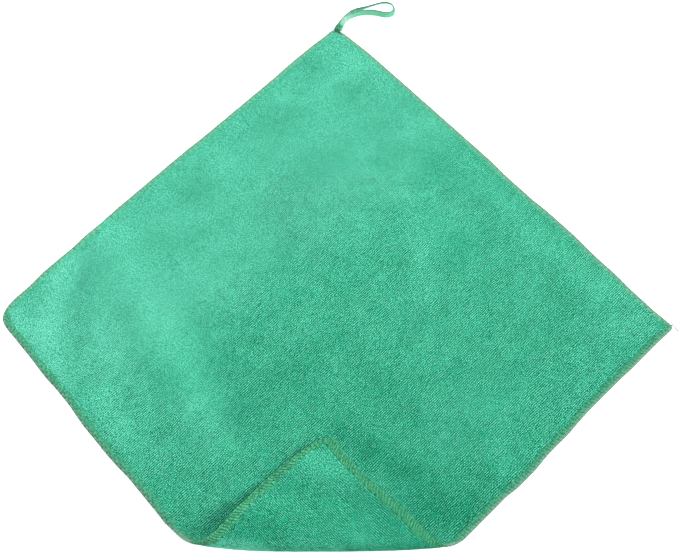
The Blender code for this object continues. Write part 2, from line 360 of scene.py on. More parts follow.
def lay(cut):
    """Bends the flat cloth: rows of distance along it, across it and above its back become places."""
    step = 0.02 * MM
    x, y = spread(cut[:, 0], cut[:, 1])
    back = fold(x, y)
    upward = np.cross(fold(x + step, y) - back, fold(x, y + step) - back)
    upward /= np.linalg.norm(upward, axis=1, keepdims=True)
    return back + upward * cut[:, 2:3] + np.array(MIDDLE)


def hem_line(inset):
    """The outline of the cut cloth or a line inside it, with matching points whatever the inset."""
    ends = []
    for index, corner in enumerate(CORNERS):
        tip = np.array((corner.along, corner.across)) * (SIDE / 2 - inset)
        on_along = tip - (corner.along * max(corner.round_along * MM - inset, MM / 5), 0)
        on_across = tip - (0, corner.across * max(corner.round_across * MM - inset, MM / 5))
        ends.append((on_across, tip, on_along) if index % 2 == 0 else (on_along, tip, on_across))
    points = []
    for (corner_start, tip, corner_end), (following, _, _) in zip(ends, ends[1:] + ends[:1]):
        for t in np.linspace(0, 1, CORNER_POINTS):
            points.append((1 - t) ** 2 * corner_start + 2 * t * (1 - t) * tip + t**2 * corner_end)
        for t in np.linspace(0, 1, SIDE_POINTS)[1:-1]:
            points.append(corner_end + (following - corner_end) * t)
    return np.array(points + points[:1])


def slice_sheet(bm, place, direction, clear_outer=False):
    """Cuts a row of points across the sheet, or trims it there."""
    everything = bm.verts[:] + bm.edges[:] + bm.faces[:]
    bmesh.ops.bisect_plane(
        bm, geom=everything, plane_co=place, plane_no=direction, clear_outer=clear_outer
    )


sheet_bm = bmesh.new()
bmesh.ops.create_grid(
    sheet_bm, x_segments=ROWS_ALONG, y_segments=FACE_RIBS * POINTS_PER_RIB, size=SIDE / 2
)
for inset in HEM_ROWS:
    for direction in ((1, 0, 0), (-1, 0, 0), (0, 1, 0), (0, -1, 0)):
        slice_sheet(sheet_bm, Vector(direction) * (SIDE / 2 - inset * MM), direction)
for row in np.linspace(ROLL_ROWS_FIRST, ROLL_ROWS_LAST, ROLL_ROWS):
    slice_sheet(sheet_bm, (row, row, 0), (1, 1, 0))
for corner in CORNERS:
    tip = Vector((corner.along, corner.across, 0)) * SIDE / 2
    on_along = tip - Vector((corner.along * corner.round_along * MM, 0, 0))
    on_across = tip - Vector((0, corner.across * corner.round_across * MM, 0))
    for trim in range(ROUNDING_CUTS):
        share = (trim + 0.5) / ROUNDING_CUTS
        trim_from, trim_to = on_along.lerp(tip, share), tip.lerp(on_across, share)
        outward = (trim_to - trim_from).cross(Vector((0, 0, 1)))
        if outward.dot(tip) < 0:
            outward.negate()
        slice_sheet(sheet_bm, trim_from, outward, clear_outer=True)
faced = bmesh.ops.extrude_face_region(sheet_bm, geom=sheet_bm.faces[:])["geom"]
face_points = [element for element in faced if isinstance(element, bmesh.types.BMVert)]
bmesh.ops.translate(sheet_bm, vec=(0, 0, THICKNESS), verts=face_points)
bmesh.ops.recalc_face_normals(sheet_bm, faces=sheet_bm.faces[:])
sheet_mesh = bpy.data.meshes.new("microfibre_sheet")
sheet_bm.to_mesh(sheet_mesh)
sheet_bm.free()


def points_of(mesh):
    """A mesh's points as rows of three numbers."""
    places = np.empty(len(mesh.vertices) * 3)
    mesh.vertices.foreach_get("co", places)
    return places.reshape(-1, 3)


def keep_on_points(mesh, name, values):
    """Stores a value, or a row of three, for each point of a mesh."""
    kind, field = ("FLOAT", "value") if values.ndim == 1 else ("FLOAT_VECTOR", "vector")
    layer = mesh.attributes.new(name, kind, "POINT")
    layer.data.foreach_set(field, values.astype(np.float32).ravel())


def inside_outline(points):
    """How far points of the cut cloth are from its outline."""
    outline = hem_line(0)
    distance = np.full(len(points), SIDE)
    for edge_start, edge_end in zip(outline[:-1], outline[1:]):
        run = edge_end - edge_start
        share = np.clip((points - edge_start) @ run / (run @ run), 0, 1)
        nearest = edge_start + share[:, None] * run
        distance = np.minimum(distance, np.hypot(*(points - nearest).T))
    return distance


def beside(towards_side):
    """1 in the band along a side of the cut square and 0 inside it, by the distance towards that side."""
    return ease((towards_side - SIDE / 2 + SIDE_BAND) / SIDE_BAND_FADE)


# The relief of both surfaces: ribs, the hem that is pressed under its seam, and the rounded edge.
cut = points_of(sheet_mesh)
on_face = cut[:, 2] > THICKNESS / 2
from_edge = inside_outline(cut[:, :2])
far_side = beside(np.maximum(cut[:, 0], cut[:, 1]))
bared = SEAM_WIDTH - NAP_OVER_SEAM * far_side
hem = ease((bared + HEM_BLEND / 2 - from_edge) / HEM_BLEND)
rib_turns = (cut[:, 1] / SIDE + 0.5) * np.where(on_face, FACE_RIBS, BACK_RIBS)
groove = (1 - np.abs(np.sin(np.pi * rib_turns))) ** GROOVE_SHARPNESS
rounding = EDGE_ROUNDING * ease(1 - from_edge / EDGE_ROUNDING_REACH)
sunk = groove * RIB_DEPTH * (1 - hem) + HEM_SINK * hem + rounding
cut[:, 2] = np.where(on_face, THICKNESS - sunk, sunk)
bent = cut.copy()
wander_turn = cut[:, 0] / WANDER_RUN + WANDER_BEND * np.sin(cut[:, 1] / WANDER_DRIFT)
bent[:, 1] += RIB_WANDER * (1 - hem) * np.sin(wander_turn)
laid = lay(bent)
sheet_mesh.vertices.foreach_set("co", laid.ravel())

# What the knit's finish reads: how its nap lies at each point, with the strokes' painted light and shade,
# and which points the seam covers.
plan_x, plan_y = laid[:, 0] - MIDDLE.x, laid[:, 1] - MIDDLE.y
brushed = on_face * (1 - ease((BRUSHED_SLOPE * plan_x - plan_y + BRUSHED_TO) / BRUSHED_FADE))
face_tone = strokes_at(SHEET_NAP_AND_LIGHT, "tone", plan_x, plan_y)
back_tone = strokes_at(FLAP_NAP_AND_LIGHT, "tone", plan_x, plan_y) + BACK_TONE
leaning_tone = LEANING_TONE * far_side * ease(1 - from_edge / LEANING_REACH)
face_crisp = strokes_at(SHEET_NAP_AND_LIGHT, "crisp", plan_x, plan_y) + 1 - BRUSHED_SMOOTHING * brushed
back_crisp = strokes_at(FLAP_NAP_AND_LIGHT, "crisp", plan_x, plan_y) + BACK_CRISPNESS
keep_on_points(sheet_mesh, "cut", cut / MM)
keep_on_points(sheet_mesh, "ribs", rib_turns)
keep_on_points(sheet_mesh, "tone", np.where(on_face, face_tone, back_tone) + leaning_tone)
keep_on_points(sheet_mesh, "crisp", np.clip(np.where(on_face, face_crisp, back_crisp), *CRISPNESS_LIMITS))
keep_on_points(sheet_mesh, "brushed", brushed**2)
keep_on_points(sheet_mesh, "hem", ease((bared - HEM_TINT_INSET - from_edge) / HEM_TINT_BLEND))
sheet_mesh.shade_smooth()
sheet = bpy.data.objects.new("microfibre_sheet", sheet_mesh)
bpy.context.scene.collection.objects.link(sheet)


class Tone:
    """One socket of a material. Arithmetic on it adds the Math or Vector Math node that works it out."""

    def __init__(self, tree, socket):
        self.tree = tree
        self.socket = socket

    def node(self, kind, settings=None, inputs=None, output=0):
        """Adds a node with its settings, fills its sockets with values or tones, and gives one output."""
        made = self.tree.nodes.new(kind)
        for name, value in (settings or {}).items():
            setattr(made, name, value)
        for name, value in (inputs or {}).items():
            if isinstance(value, Tone):
                self.tree.links.new(value.socket, made.inputs[name])
            else:
                made.inputs[name].default_value = value
        return Tone(self.tree, made.outputs[output])

    def math(self, operation, *values):
        """Adds the Math node for this operation, or the Vector Math node if this tone is a vector."""
        kind = "ShaderNodeVectorMath" if self.socket.type == "VECTOR" else "ShaderNodeMath"
        return self.node(kind, {"operation": operation}, dict(enumerate(values)))

    def __add__(self, other):
        return self.math("ADD", self, other)

    def __radd__(self, other):
        return self.math("ADD", other, self)

    def __sub__(self, other):
        return self.math("SUBTRACT", self, other)

    def __rsub__(self, other):
        return self.math("SUBTRACT", other, self)

    def __mul__(self, other):
        return self.math("MULTIPLY", self, other)

    def __rmul__(self, other):
        return self.math("MULTIPLY", other, self)

    def __truediv__(self, other):
        return self.math("DIVIDE", self, other)

    def __rtruediv__(self, other):
        return self.math("DIVIDE", other, self)

    def __abs__(self):
        return self.math("ABSOLUTE", self)

    def fract(self):
        """What is left above the whole number."""
        return self.math("FRACT", self)

    def or_less(self, other):
        """The smaller of two tones."""
        return self.math("MINIMUM", self, other)

    def between(self, low, high):
        """0 up to low, 1 from high, and straight in between."""
        limits = {"Value": self, "From Min": low, "From Max": high}
        return self.node("ShaderNodeMapRange", None, limits)

    def noise(self, size, detail=1.0):
        """Soft noise from 0 to 1 whose grains have this size along the three directions."""
        inputs = {"Vector": self / size, "Scale": 1.0, "Detail": detail}
        return self.node("ShaderNodeTexNoise", None, inputs)

    def part(self, index):
        """One of a vector's three numbers."""
        return self.node("ShaderNodeSeparateXYZ", None, {0: self}, output=index)

    def blend(self, first, second):
        """Goes from the first colour to the second as this tone goes from 0 to 1."""
        inputs = {0: self, 6: first, 7: second}
        return self.node("ShaderNodeMix", {"data_type": "RGBA"}, inputs, output=2)

    def stored(self, name):
        """A number stored on the points of the piece."""
        return self.node("ShaderNodeAttribute", {"attribute_name": name}, output=2)

    def stored_place(self, name):
        """A place stored on the points of the piece."""
        return self.node("ShaderNodeAttribute", {"attribute_name": name}, output=1)


def textile(name, fuzz, fuzz_tint):
    """A matt textile finish with a bloom of fibre ends: its material, shader and a tone to start from."""
    material = bpy.data.materials.new(name)
    material.use_nodes = True
    tree = material.node_tree
    shader = tree.nodes["Principled BSDF"]
    shader.inputs["Roughness"].default_value = 0.95
    shader.inputs["Specular IOR Level"].default_value = 0.01
    shader.inputs["Sheen Weight"].default_value = fuzz
    shader.inputs["Sheen Roughness"].default_value = 0.45
    shader.inputs["Sheen Tint"].default_value = (*fuzz_tint, 1)
    return material, shader, Tone(tree, shader.outputs[0])


def wear(shader, colour, height, depth):
    """Gives a shader its colour and its fine relief."""
    inputs = {"Height": height, "Distance": depth}
    relief = colour.node("ShaderNodeBump", None, inputs)
    colour.tree.links.new(colour.socket, shader.inputs["Base Color"])
    colour.tree.links.new(relief.socket, shader.inputs["Normal"])


# The nap's colours. The deep green also carries the painted shade in the rib grooves.
PALE_GREEN = (0.170, 0.650, 0.465, 1)
MID_GREEN = (0.022, 0.325, 0.186, 1)
DEEP_GREEN = (0.001, 0.100, 0.044, 1)
# Whitish pale fibre tips with a painted sheen, mixed in where the face is brushed.
PALE_TIPS_AND_SHEEN = (0.380, 0.830, 0.800, 1)
PALE_TIPS_AND_SHEEN_SHARE = 0.06
HEM_GREEN = (0.060, 0.310, 0.175, 1)
HEM_SHADE = (0.025, 0.215, 0.105, 1)
FUZZ_GREEN = (0.2, 1.0, 0.7)
NAP_RELIEF = 0.35 * MM
# How large each kind of unevenness is, in mm along the ribs, across them and through the sheet.
PATCH_SIZE = (9.0, 7.0, 9.0)
RIB_BEND_SIZE = (6.0, 6.0, 6.0)
DASH_SIZE = (1.2, 0.75, 1.7)
FLECK_SIZE = (0.68, 0.58, 1.0)
CLOUD_SIZE = (26.0, 22.0, 30.0)
FIBRE_SIZE = (0.7, 0.5, 0.7)
# Between which levels of its noise each one comes up.
PATCH_LEVELS = (0.35, 0.60)
DASH_LEVELS = (0.38, 0.56)
FLECK_LEVELS = (0.18, 0.60)
GROOVE_LEVELS = (0.15, 0.85)
CRISP_LEVELS = (0, 0.95)
FLECK_MEAN = 0.76
# How strongly each one shows: patches in the crispness, dashes in the ribs, and the rest in the colour.
PATCH_SHARE = 0.65
LEAST_CRISPNESS = 0.45
DASH_SHARE = 0.9
RIB_BEND = 0.8
FLECK_CONTRAST = 1.15
CLOUD_CONTRAST = 0.36
CLOUD_LOSS_WHERE_CRISP = 0.2
TONE_CONTRAST = 0.17
CRISP_DARKENING = 0.08
LIGHTNESS_IN_RELIEF = 0.8
# The levels through the sheet, in mm, between which the back turns to the face.
MIDDLE_LEVELS = (0.8, 1.2)

microfibre, knit_shader, knit = textile("microfibre", fuzz=0.08, fuzz_tint=FUZZ_GREEN)
knit_place = knit.stored_place("cut")
patches = knit_place.noise(PATCH_SIZE).between(*PATCH_LEVELS)
crispness = knit.stored("crisp") * (patches * PATCH_SHARE + LEAST_CRISPNESS)
rib_bend = (knit_place.noise(RIB_BEND_SIZE) - 0.5) * RIB_BEND
from_rib_top = abs((knit.stored("ribs") + rib_bend).fract() - 0.5) * 2
in_groove = from_rib_top.between(*GROOVE_LEVELS)
dashes = knit_place.noise(DASH_SIZE).between(*DASH_LEVELS)
dashed = dashes * DASH_SHARE + (1 - DASH_SHARE)
flecks = knit_place.noise(FLECK_SIZE).between(*FLECK_LEVELS) - FLECK_MEAN
clouds = knit_place.noise(CLOUD_SIZE, detail=3.0) - 0.5
# Painted shade in the rib grooves and painted light on the rib tops, broken into dashes and stronger where
# the ribs are crisp.
painted_rib_shading = (0.5 - in_groove) * dashed * crispness.between(*CRISP_LEVELS)
cloud_light = clouds * (CLOUD_CONTRAST - crispness * CLOUD_LOSS_WHERE_CRISP)
# The strokes' tone carries painted light and shade as well as the nap's own tone.
nap_and_painted_light = flecks * FLECK_CONTRAST + cloud_light + knit.stored("tone") * TONE_CONTRAST
lightness = painted_rib_shading + nap_and_painted_light + 0.5 - crispness * CRISP_DARKENING
knit_colour = lightness.between(0, 0.5).blend(DEEP_GREEN, MID_GREEN)
knit_colour = lightness.between(0.5, 1).blend(knit_colour, PALE_GREEN)
# Where the face is brushed its colour pales toward whitish fibre tips and a painted sheen.
knit_colour = (knit.stored("brushed") * PALE_TIPS_AND_SHEEN_SHARE).blend(knit_colour, PALE_TIPS_AND_SHEEN)
hem_colour = knit_place.part(2).between(*MIDDLE_LEVELS).blend(HEM_SHADE, HEM_GREEN)
knit_colour = knit.stored("hem").blend(knit_colour, hem_colour)
fibres = knit_place.noise(FIBRE_SIZE, detail=2.0)
wear(knit_shader, knit_colour, fibres + lightness * LIGHTNESS_IN_RELIEF, NAP_RELIEF)
sheet_mesh.materials.append(microfibre)
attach(sheet, "root")
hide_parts("cloth")

# The overlock: two looper threads and a needle thread that bind the raw edge all round. On each face the
# loopers zigzag between the needle line and the edge, where they interlock. It ends in loose thread tails.
# Its sizes are in mm: along the seam, in from the edge, and up from the sheet's back.
STITCH_LENGTH = 4.4
FACE_WIDTH = 4.0
BACK_WIDTH = 4.2
FACE_LEVEL = 1.78
EDGE_LEVEL = 1.0
BACK_LEVEL = 0.32
CORE_INSET = 1.0
# Where each strand of a stitch starts on the face, rounds the edge and ends on the back, in stitches.
STRANDS = ((0.24, 0.30, -0.60), (0.62, 0.80, -0.10))
STRAND_BOW = 0.10
STRAND_SIDES = 6
STRAND_HALF_DEPTH = 0.21
# Half the width of a strand from the needle line on the face, round the edge, to the line on the back.
STRAND_HALF_WIDTHS = (1.3, 1.5, 1.6, 1.6, 1.4, 1.1, 0.9, 0.8, 0.75, 0.7, 0.66, 0.62, 0.5)
THREAD_SIDES = 5
THREAD_RADIUS = 0.24
NEEDLE_INSET = 0.35
# How wide the seam is on the face and on the back, the level of its needle line, and how far that dips.
NEEDLE_LINES = ((FACE_WIDTH, FACE_LEVEL, -0.45), (BACK_WIDTH, BACK_LEVEL + 0.02, 0.4))
NEEDLE_LENGTHS = (-0.02, 0.08, 0.44, 0.80, 0.90)
NEEDLE_DIPS = (1, 0, 0, 0, 1)
LOCK_LENGTHS = (-0.03, 0.25, 0.5, 0.75, 1.03)
LOCK_INSET = -0.32
LOCK_WAVER_IN = 0.08
LOCK_WAVER_UP = 0.10
LOCK_HALF_WIDTH = 0.5
LOCK_HALF_DEPTH = 0.28
# How far the stitches sway along the seam and how unevenly wide they are, and over which lengths.
STITCH_SWAY = 0.45
STITCH_SWAY_RUNS = (1.9, 7.3)
WIDTH_SWAY = 0.10
WIDTH_SWAY_RUNS = (2.7, 17.0)
# How far the face's strands lie sunk in the nap on the two far sides.
SUNK_IN_NAP = 0.22 * MM
# Where the near corner's fold starts, by the sum of the two distances from the middle of the cut square.
FOLD_STARTS = -200 * MM
FOLD_FADE = 8 * MM
# The rim, painted grey as edge shade: how strongly, how far in it reaches and from which level it starts.
RIM_GREYING = 0.9
RIM_REACH = 1.7
RIM_START = 0.3
# Each tail's middle line from the right corner, in mm from the cloth's middle.
THREAD_TAILS = (
    ((212.2, -5.6, 1.2), (213.6, -4.2, 1.6), (215.2, -4.8, 1.3), (216.2, -6.8, 0.8), (217.4, -7.4, 0.5)),
    ((212.6, -4.6, 1.3), (214.4, -3.2, 1.2), (215.6, -2.6, 0.9)),
)
TAIL_RADIUS = 1.3 * THREAD_RADIUS * MM
TAIL_SIDES = 6


def sweep(bm, sides, stations):
    """A closed tube whose round section is placed at each station, a matrix, in turn."""
    bmesh.ops.create_circle(bm, cap_ends=True, segments=sides, radius=1, matrix=stations[0])
    bm.faces.ensure_lookup_table()
    end_face = bm.faces[-1]
    for previous, station in zip(stations, stations[1:]):
        grown = bmesh.ops.extrude_face_region(bm, geom=[end_face])["geom"]
        ring = [element for element in grown if isinstance(element, bmesh.types.BMVert)]
        end_face = next(element for element in grown if isinstance(element, bmesh.types.BMFace))
        bmesh.ops.transform(bm, matrix=station @ previous.inverted(), verts=ring)


def station(place, onward, outward, half_width, half_depth):
    """Places a section: its width lies across the way it runs, and its depth looks outward."""
    forward = onward.normalized()
    across = forward.cross(outward).normalized()
    depth = across.cross(forward)
    axes = Matrix((across * half_width, depth * half_depth, forward)).transposed().to_4x4()
    return Matrix.Translation(place) @ axes


def onward_at(places, index):
    """The way a path runs at one of its places, from the place before to the place after."""
    return places[min(index + 1, len(places) - 1)] - places[max(index - 1, 0)]


def stations_along(places, outward_at, half_widths, half_depth):
    """Stations at every place of a path. The half width is one for all or one for each."""
    each_half_width = np.broadcast_to(half_widths, len(places))
    made = []
    for index, (place, half_width) in enumerate(zip(places, each_half_width)):
        made.append(station(place, onward_at(places, index), outward_at(place), half_width, half_depth))
    return made


def strand_path(from_face, at_edge, to_back):
    """One strand of a stitch: from the needle line over the face, round the edge and back below."""
    profile = (
        (FACE_WIDTH + 0.4, FACE_LEVEL - 0.5),
        (FACE_WIDTH - 0.2, FACE_LEVEL - 0.05),
        (FACE_WIDTH * 0.72, FACE_LEVEL + 0.06),
        (FACE_WIDTH * 0.40, FACE_LEVEL + 0.05),
        (0.35, FACE_LEVEL - 0.10),
        (-0.18, 1.40),
        (-0.30, 1.02),
        (-0.18, 0.66),
        (0.35, BACK_LEVEL + 0.03),
        (BACK_WIDTH * 0.40, BACK_LEVEL),
        (BACK_WIDTH * 0.72, BACK_LEVEL),
        (BACK_WIDTH - 0.2, BACK_LEVEL),
        (BACK_WIDTH + 0.4, BACK_LEVEL + 0.45),
    )
    path = []
    for inset, level in profile:
        far_end, width = (from_face, FACE_WIDTH) if level > EDGE_LEVEL else (to_back, BACK_WIDTH)
        depth = min(max(inset / width, 0), 1)
        share = at_edge + (far_end - at_edge) * depth + STRAND_BOW * math.sin(math.pi * depth)
        path.append(Vector((share * STITCH_LENGTH, inset, level)))
    return path


def needle_path(width, level, dip):
    """One stitch of the needle thread, which dips into the cloth at both of its ends."""
    stitches = zip(NEEDLE_LENGTHS, NEEDLE_DIPS)
    return [
        Vector((share * STITCH_LENGTH, width - NEEDLE_INSET, level + dip * dipped))
        for share, dipped in stitches
    ]


def lock_path():
    """One stitch of the line along the edge where the loopers interlock, which wavers."""
    path = []
    for step, share in enumerate(LOCK_LENGTHS):
        waver = (-1) ** step
        inset = LOCK_INSET + LOCK_WAVER_IN * waver
        path.append(Vector((share * STITCH_LENGTH, inset, EDGE_LEVEL + LOCK_WAVER_UP * waver)))
    return path


def from_core(place):
    """Away from the middle of the hem."""
    return place - Vector((place.x, max(place.y, CORE_INSET), EDGE_LEVEL))


def straight_up(_):
    """Up, wherever the place is."""
    return Vector((0, 0, 1))


# One stitch, laid flat.
stitch_bm = bmesh.new()
for strand in STRANDS:
    strand_stations = stations_along(
        strand_path(*strand), from_core, STRAND_HALF_WIDTHS, STRAND_HALF_DEPTH
    )
    sweep(stitch_bm, STRAND_SIDES, strand_stations)
for needle_line in NEEDLE_LINES:
    needle_stations = stations_along(
        needle_path(*needle_line), straight_up, THREAD_RADIUS, THREAD_RADIUS
    )
    sweep(stitch_bm, THREAD_SIDES, needle_stations)
lock_stations = stations_along(lock_path(), from_core, LOCK_HALF_WIDTH, LOCK_HALF_DEPTH)
sweep(stitch_bm, THREAD_SIDES, lock_stations)
bmesh.ops.recalc_face_normals(stitch_bm, faces=stitch_bm.faces[:])
stitch_mesh = bpy.data.meshes.new("stitch")
stitch_bm.to_mesh(stitch_mesh)
stitch_bm.free()

# The stitch is repeated all round, and its points are then led along the hem and laid with the cloth.
outer, inner = hem_line(0), hem_line(SEAM_WIDTH)
middle_runs = np.linalg.norm(np.diff((outer + inner) / 2, axis=0), axis=1)
travelled = np.concatenate(((0,), np.cumsum(middle_runs)))
stitch_count = round(travelled[-1] / (STITCH_LENGTH * MM))
overlock_bm = bmesh.new()
for index in range(stitch_count):
    placed = len(overlock_bm.verts)
    overlock_bm.from_mesh(stitch_mesh)
    overlock_bm.verts.ensure_lookup_table()
    bmesh.ops.translate(
        overlock_bm, vec=(index * STITCH_LENGTH, 0, 0), verts=overlock_bm.verts[placed:]
    )
bpy.data.meshes.remove(stitch_mesh)
overlock_mesh = bpy.data.meshes.new("overlock")
overlock_bm.to_mesh(overlock_mesh)
overlock_bm.free()
seam = points_of(overlock_mesh)
short_run, long_run = STITCH_SWAY_RUNS
seam[:, 0] += STITCH_SWAY * np.sin(seam[:, 0] / short_run) * np.sin(seam[:, 0] / long_run + seam[:, 1])
short_run, long_run = WIDTH_SWAY_RUNS
seam[:, 1] *= 1 + WIDTH_SWAY * np.sin(seam[:, 0] / short_run) * np.cos(seam[:, 0] / long_run)
along_seam = seam[:, 0] / (stitch_count * STITCH_LENGTH) % 1 * travelled[-1]
inward = (seam[:, 1] * MM / SEAM_WIDTH)[:, None]
outer_place = np.stack([np.interp(along_seam, travelled, outer[:, axis]) for axis in (0, 1)], axis=1)
inner_place = np.stack([np.interp(along_seam, travelled, inner[:, axis]) for axis in (0, 1)], axis=1)
seam_cut = np.column_stack((outer_place + (inner_place - outer_place) * inward, seam[:, 2] * MM))
inner_part = ease(seam[:, 1] - 1)
upper_part = ease(2 * (seam[:, 2] - EDGE_LEVEL))
seam_far_side = beside(np.maximum(seam_cut[:, 0], seam_cut[:, 1]))
seam_cut[:, 2] -= SUNK_IN_NAP * seam_far_side * inner_part * upper_part
overlock_mesh.vertices.foreach_set("co", lay(seam_cut).ravel())
overlock_mesh.shade_smooth()

# The threads' finish reads where along the stitches, on which side and how near the rim a point is.
unfolded = ease((seam_cut[:, 0] + seam_cut[:, 1] - FOLD_STARTS) / FOLD_FADE)
rim = RIM_GREYING * unfolded * ease(RIM_REACH - seam[:, 1]) * ease(2 * (seam[:, 2] - RIM_START))
keep_on_points(overlock_mesh, "seam", seam)
keep_on_points(overlock_mesh, "near_side", beside(-np.minimum(seam_cut[:, 0], seam_cut[:, 1])))
keep_on_points(overlock_mesh, "right_side", beside(-seam_cut[:, 1]))
keep_on_points(overlock_mesh, "rim", rim)
overlock = bpy.data.objects.new("overlock", overlock_mesh)
bpy.context.scene.collection.objects.link(overlock)

# Colours of the thread: on the face along the far sides, and along the near sides in darker copies that
# paint their shade; on the back; in the needle holes; and at the rim, painted grey as edge shade, a paler
# grey along the near sides. Along the right side the back's thread is painted darker, as shade.
FACE_PALE = (0.110, 0.390, 0.240, 1)
FACE_GREEN = (0.045, 0.255, 0.150, 1)
NEAR_SHADED_PALE = (0.062, 0.295, 0.168, 1)
NEAR_SHADED_GREEN = (0.020, 0.165, 0.092, 1)
BACK_PALE = (0.098, 0.430, 0.218, 1)
BACK_GREEN = (0.012, 0.140, 0.068, 1)
HOLE_GREEN = (0.010, 0.120, 0.060, 1)
RIM_GREY = (0.118, 0.208, 0.150, 1)
NEAR_RIM = (0.142, 0.277, 0.200, 1)
RIGHT_SIDE_SHADE = 0.4
HOLE_AT = 0.45
HOLE_REACH = (0.06, 0.15)
HOLE_INSET = (3.2, 3.8)
HOLE_FADING_ON_FACE = 0.6
PLY_SIZE = (0.5, 0.5, 0.5)
FADE_SIZE = (0.9, 0.9, 0.9)
FADE_LEVELS = (0.36, 0.62)
PLY_RELIEF = 0.15 * MM

thread, thread_shader, strands = textile("overlock_thread", fuzz=0.1, fuzz_tint=(0.85, 1.0, 0.85))
seam_place = strands.stored_place("seam")
ply = seam_place.noise(PLY_SIZE)
faded = seam_place.noise(FADE_SIZE).between(*FADE_LEVELS)
on_top = seam_place.part(2).between(*MIDDLE_LEVELS)
far_colour = faded.blend(FACE_GREEN, FACE_PALE)
# The near sides' thread is painted darker, as their shade.
near_shaded_colour = faded.blend(NEAR_SHADED_GREEN, NEAR_SHADED_PALE)
face_colour = strands.stored("near_side").blend(far_colour, near_shaded_colour)
# Random fading, and along the right side a darkening that paints shade.
back_fade_and_shade = faded * (1 - strands.stored("right_side") * RIGHT_SIDE_SHADE)
back_colour = back_fade_and_shade.blend(BACK_GREEN, BACK_PALE)
from_hole = abs((seam_place.part(0) / STITCH_LENGTH).fract() - HOLE_AT)
in_hole = (1 - from_hole.between(*HOLE_REACH)) * seam_place.part(1).between(*HOLE_INSET)
holes = in_hole * (1 - on_top * HOLE_FADING_ON_FACE)
thread_colour = holes.blend(on_top.blend(back_colour, face_colour), HOLE_GREEN)
# The rim is painted grey as edge shade, a paler grey along the near sides.
rim_colour = strands.stored("near_side").blend(RIM_GREY, NEAR_RIM)
thread_colour = strands.stored("rim").blend(thread_colour, rim_colour)
wear(thread_shader, thread_colour, ply, PLY_RELIEF)
overlock_mesh.materials.append(thread)
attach(overlock, "root")

tails_bm = bmesh.new()
for tail in THREAD_TAILS:
    tail_places = [Vector(point) * MM + MIDDLE for point in tail]
    sweep(tails_bm, TAIL_SIDES, stations_along(tail_places, straight_up, TAIL_RADIUS, TAIL_RADIUS))
bmesh.ops.recalc_face_normals(tails_bm, faces=tails_bm.faces[:])
tails_mesh = bpy.data.meshes.new("thread_tails")
tails_bm.to_mesh(tails_mesh)
tails_bm.free()
tails_mesh.shade_smooth()
keep_on_points(tails_mesh, "rim", np.full(len(tails_mesh.vertices), RIM_GREYING))
keep_on_points(tails_mesh, "near_side", np.zeros(len(tails_mesh.vertices)))
tails_mesh.materials.append(thread)
thread_tails = bpy.data.objects.new("thread_tails", tails_mesh)
bpy.context.scene.collection.objects.link(thread_tails)
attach(thread_tails, "root")

# The hanging loop: a narrow woven polyester tape that stands on edge and leans inwards. Both of its ends
# are sewn to the far corner.
TAPE_WIDTH = 4.2 * MM
TAPE_THICKNESS = 1.0 * MM
TAPE_SIDES = 24
TAPE_STEPS = 8
# How flat the section's two faces are: at 1 it is an oval.
FLAT_FACED = 0.35
# The middle line of the tape in mm from the cloth's middle, and how many degrees it leans to the left
# of the way it runs.
TapePoint = namedtuple("TapePoint", "x y z lean")
TAPE_ROUTE = (
    TapePoint(7.4, 206.2, 3.1, 50),
    TapePoint(9.5, 211.4, 2.9, 40),
    TapePoint(11.9, 214.8, 2.7, 24),
    TapePoint(15.2, 217.3, 2.6, 16),
    TapePoint(19.2, 219.2, 2.5, 18),
    TapePoint(24.0, 220.4, 2.4, 23),
    TapePoint(29.0, 220.6, 2.4, 26),
    TapePoint(34.2, 219.9, 2.4, 28),
    TapePoint(38.8, 218.8, 2.4, 28),
    TapePoint(42.5, 218.8, 2.4, 26),
    TapePoint(45.2, 220.6, 2.4, 22),
    TapePoint(45.8, 223.6, 2.4, 20),
    TapePoint(44.7, 226.6, 2.4, 22),
    TapePoint(41.8, 228.2, 2.4, 24),
    TapePoint(37.9, 228.4, 2.4, 21),
    TapePoint(32.5, 226.9, 2.4, 20),
    TapePoint(26.5, 224.8, 2.4, 16),
    TapePoint(20.9, 223.2, 2.3, 8),
    TapePoint(16.8, 221.4, 2.3, 0),
    TapePoint(13.4, 218.6, 2.3, -8),
    TapePoint(10.7, 215.4, 2.2, -24),
    TapePoint(8.5, 212.0, 2.1, -40),
    TapePoint(6.3, 207.0, 2.0, -50),
)


def smooth_route(rows, steps):
    """Points on a Catmull-Rom curve through the rows, each with all of the rows' columns."""
    route = []
    for index in range(len(rows) - 1):
        before, after = rows[max(index - 1, 0)], rows[min(index + 2, len(rows) - 1)]
        for t in np.arange(steps) / steps:
            weights = (-t + 2 * t**2 - t**3, 2 - 5 * t**2 + 3 * t**3, t + 4 * t**2 - 3 * t**3, t**3 - t**2)
            columns = zip(before, rows[index], rows[index + 1], after)
            route.append([sum(w * v for w, v in zip(weights, values)) / 2 for values in columns])
    route.append(list(rows[-1]))
    return route


def tape_stations(route, places):
    """Sections of the tape along its route, each leaning as its row says."""
    made = []
    for index, (place, row) in enumerate(zip(places, route)):
        onward = onward_at(places, index)
        left = Vector((-onward.y, onward.x, 0)).normalized()
        lean = math.radians(row[3])
        face_outward = left * math.cos(lean) - Vector((0, 0, 1)) * math.sin(lean)
        made.append(station(place, onward, face_outward, TAPE_WIDTH / 2, TAPE_THICKNESS / 2))
    return made


tape_route = smooth_route(TAPE_ROUTE, TAPE_STEPS)
tape_places = [Vector(row[:3]) * MM + MIDDLE for row in tape_route]
sections = tape_stations(tape_route, tape_places)
tape_bm = bmesh.new()
sweep(tape_bm, TAPE_SIDES, sections)

